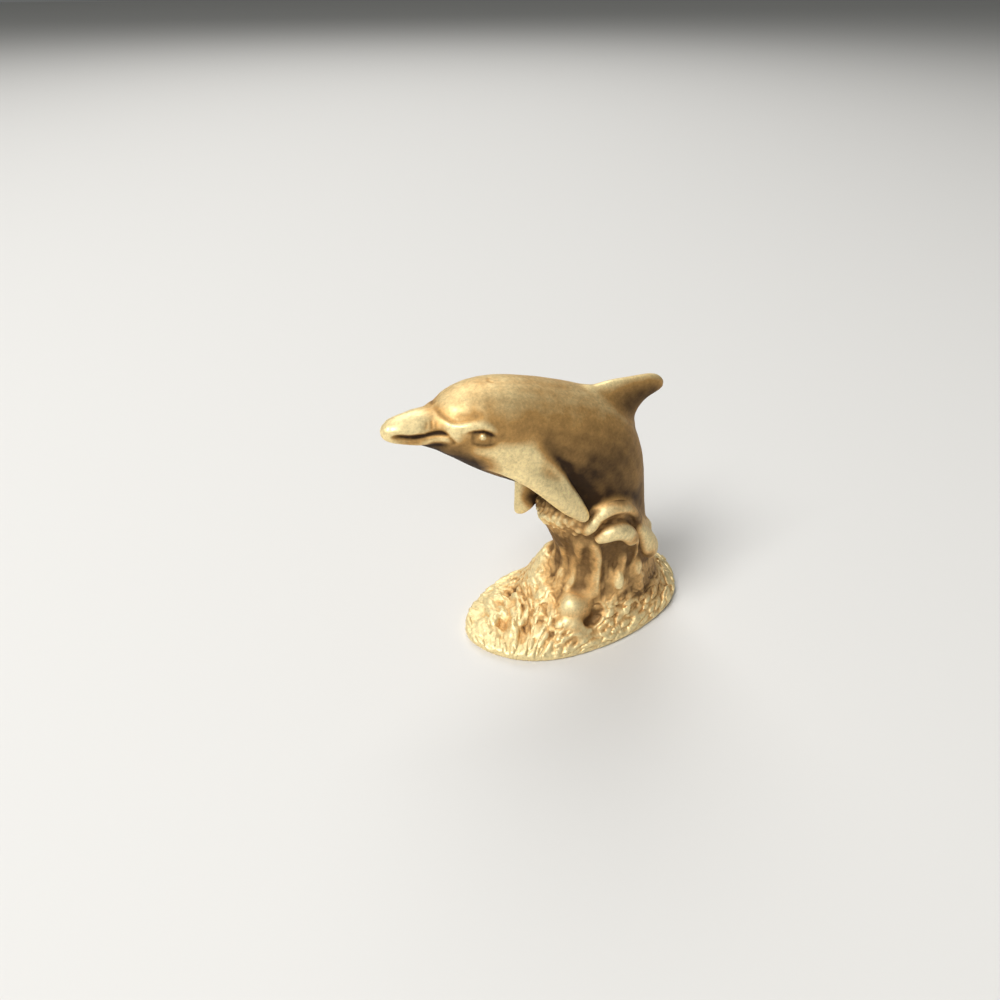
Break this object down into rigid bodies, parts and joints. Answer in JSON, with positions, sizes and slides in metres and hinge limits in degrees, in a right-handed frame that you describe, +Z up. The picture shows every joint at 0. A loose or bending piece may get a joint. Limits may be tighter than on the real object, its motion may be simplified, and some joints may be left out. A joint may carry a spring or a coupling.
{
  "type": "dolphin figurine",
  "caption": "Small cast pewter ornament of a leaping dolphin rising from a curling wave on an oval rippled base.",
  "frame": {"origin": "centre of the flat underside that the ornament stands on", "axes": "+Z up, beak towards -X, the dolphin's left flank towards -Y"},
  "size_m": [0.0661, 0.0287, 0.0596],
  "materials": {
    "dolphin_pewter": "soft satin cast pewter with a warm gold-bronze patina, darker in the creases",
    "water_pewter": "rough as-cast pewter with rubbed bright crests and dark patina in the hollows"
  },
  "bodies": {
    "root": {"dolphin_body": "dolphin_pewter", "dorsal_fin": "dolphin_pewter", "left_flipper": "dolphin_pewter", "right_flipper": "dolphin_pewter", "splash_column": "water_pewter", "near_lip": "water_pewter", "near_curl": "water_pewter", "near_tongue": "water_pewter", "far_lip": "water_pewter", "far_curl": "water_pewter", "far_tongue": "water_pewter", "water_base": "water_pewter"}
  },
  "joints": []
}
